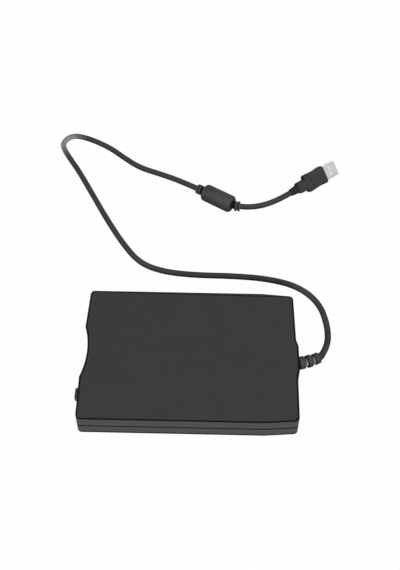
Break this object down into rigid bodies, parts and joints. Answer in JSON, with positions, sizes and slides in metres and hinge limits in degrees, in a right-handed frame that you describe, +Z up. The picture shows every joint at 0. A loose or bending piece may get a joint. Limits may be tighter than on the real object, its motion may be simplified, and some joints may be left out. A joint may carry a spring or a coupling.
{
  "type": "external floppy disk drive",
  "caption": "Slim portable USB floppy disk drive for 3.5 inch disks: flat matte case, front slot with eject button and dust flap, fixed cable with ferrite sleeve and type A plug.",
  "frame": {"origin": "middle of the case's footprint, on the surface that the rubber feet rest on", "axes": "+X from the disk slot to the cable exit, +Y across the case away from the eject button's side, +Z up"},
  "size_m": [0.228, 0.2877, 0.018],
  "materials": {
    "case_plastic": "fine matte texture",
    "bezel_plastic": "fine matte texture",
    "foot_rubber": "soft matte",
    "screw_steel": "zinc plated",
    "black_screw": "black oxide",
    "flap_plastic": "satin",
    "spring_steel": "polished wire",
    "lens": "clear tinted",
    "button_plastic": "satin",
    "sheet_steel": "galvanised sheet",
    "circuit_board": "solder mask",
    "copper_coil": "enamelled wire",
    "magnet": "sintered",
    "bronze": "sintered bronze",
    "shaft_steel": "ground and polished",
    "hub_plastic": "satin",
    "carriage_plastic": "glass-filled, matte",
    "head_ceramic": "lapped ceramic",
    "component_plastic": "moulded epoxy",
    "connector_plastic": "matte",
    "ribbon_film": "polyester film",
    "cable_jacket": "soft satin vinyl",
    "ferrite_moulding": "satin vinyl over ferrite",
    "plug_moulding": "satin vinyl",
    "plug_metal": "nickel plated",
    "tongue_plastic": "matte",
    "gold_contact": "gold plated"
  },
  "bodies": {
    "case": {"upper_shell": "case_plastic", "lower_shell": "case_plastic", "front_bezel": "bezel_plastic", "rubber_feet": "foot_rubber", "case_screws": "black_screw", "drive_mount_screws": "screw_steel", "flap_spring": "spring_steel", "led_lens": "lens", "activity_led": "lens", "drive_chassis": "sheet_steel", "drive_cover": "sheet_steel", "cover_screws": "screw_steel", "eject_springs": "spring_steel", "motor_board": "circuit_board", "motor_stator": "copper_coil", "spindle_bearing": "bronze", "guide_rail_main": "shaft_steel", "guide_rail_side": "shaft_steel", "rail_clamps": "screw_steel", "stepper_motor": "sheet_steel", "stepper_bracket": "sheet_steel", "track_zero_sensor": "component_plastic", "disk_in_switch": "component_plastic", "write_protect_switch": "component_plastic", "density_switch": "component_plastic", "usb_board": "circuit_board", "usb_controller_chip": "component_plastic", "board_parts": "component_plastic", "cable_header": "connector_plastic", "ribbon_sockets": "connector_plastic", "drive_ribbon": "ribbon_film", "strain_relief": "cable_jacket", "ferrite_sleeve": "ferrite_moulding", "usb_cord_a": "cable_jacket", "usb_cord_b": "cable_jacket", "plug_grip": "plug_moulding", "plug_shell": "plug_metal", "plug_tongue": "tongue_plastic", "plug_contacts": "gold_contact"},
    "slider": {"eject_slider": "sheet_steel", "eject_button": "button_plastic"},
    "holder": {"disk_holder": "sheet_steel", "lever_pivot_pin": "screw_steel", "lever_spring": "spring_steel"},
    "lever": {"shutter_lever": "sheet_steel"},
    "flap": {"dust_flap": "flap_plastic"},
    "rotor": {"spindle_rotor": "sheet_steel", "rotor_magnet": "magnet", "spindle_shaft": "shaft_steel", "spindle_hub": "hub_plastic"},
    "drive_pin": {"drive_pin": "hub_plastic"},
    "carriage": {"head_carriage": "carriage_plastic", "lower_head": "head_ceramic"},
    "arm": {"upper_head_arm": "sheet_steel", "upper_head": "head_ceramic"},
    "screw": {"lead_screw": "shaft_steel"},
    "disk_in": {"disk_in_plunger": "connector_plastic"},
    "write_protect": {"write_protect_plunger": "connector_plastic"},
    "density": {"density_plunger": "connector_plastic"}
  },
  "joints": [
    {"name": "eject_slide", "type": "slide", "parent": "case", "child": "slider", "axis": [-1, 0, 0], "range_m": [0, 0.005], "deforming": ["eject_springs"]},
    {"name": "holder_drop", "type": "slide", "parent": "case", "child": "holder", "axis": [0, 0, -1], "range_m": [0, 0.002]},
    {"name": "shutter_lever_turn", "type": "hinge", "parent": "holder", "child": "lever", "pos_m": [0.0277, 0.039, 0.0141], "axis": [0, 0, 1], "range_deg": [0, 53], "stiffness_Nm_per_rad": 0.0005},
    {"name": "flap_swing", "type": "hinge", "parent": "case", "child": "flap", "pos_m": [-0.065, 0, 0.014], "axis": [0, -1, 0], "range_deg": [0, 88], "stiffness_Nm_per_rad": 0.0001},
    {"name": "spindle_spin", "type": "hinge", "parent": "case", "child": "rotor", "pos_m": [-0.0203, 0, 0.0062], "axis": [0, 0, 1], "continuous": true},
    {"name": "drive_pin_dip", "type": "slide", "parent": "rotor", "child": "drive_pin", "axis": [0, 0, -1], "range_m": [0, 0.0008], "stiffness_N_per_m": 60},
    {"name": "carriage_seek", "type": "slide", "parent": "case", "child": "carriage", "axis": [-1, 0, 0], "range_m": [0, 0.01481]},
    {"name": "screw_spin", "type": "hinge", "parent": "case", "child": "screw", "pos_m": [0.0351, 0.016, 0.0092], "axis": [1, 0, 0], "range_deg": [0, 1422]},
    {"name": "upper_arm_drop", "type": "hinge", "parent": "carriage", "child": "arm", "pos_m": [0.0437, 0, 0.0112], "axis": [0, -1, 0], "range_deg": [0, 8.9]},
    {"name": "disk_in_press", "type": "slide", "parent": "case", "child": "disk_in", "axis": [0, 0, -1], "range_m": [0, 0.001], "stiffness_N_per_m": 20},
    {"name": "write_protect_press", "type": "slide", "parent": "case", "child": "write_protect", "axis": [0, 0, -1], "range_m": [0, 0.001], "stiffness_N_per_m": 20},
    {"name": "density_press", "type": "slide", "parent": "case", "child": "density", "axis": [0, 0, -1], "range_m": [0, 0.001], "stiffness_N_per_m": 20}
  ],
  "couplings": [
    {"joint": "holder_drop", "follows": "eject_slide", "ratio": 0.4},
    {"joint": "upper_arm_drop", "follows": "eject_slide", "rad_per_m": 31.066},
    {"joint": "screw_spin", "follows": "carriage_seek", "rad_per_m": 1675.5}
  ]
}
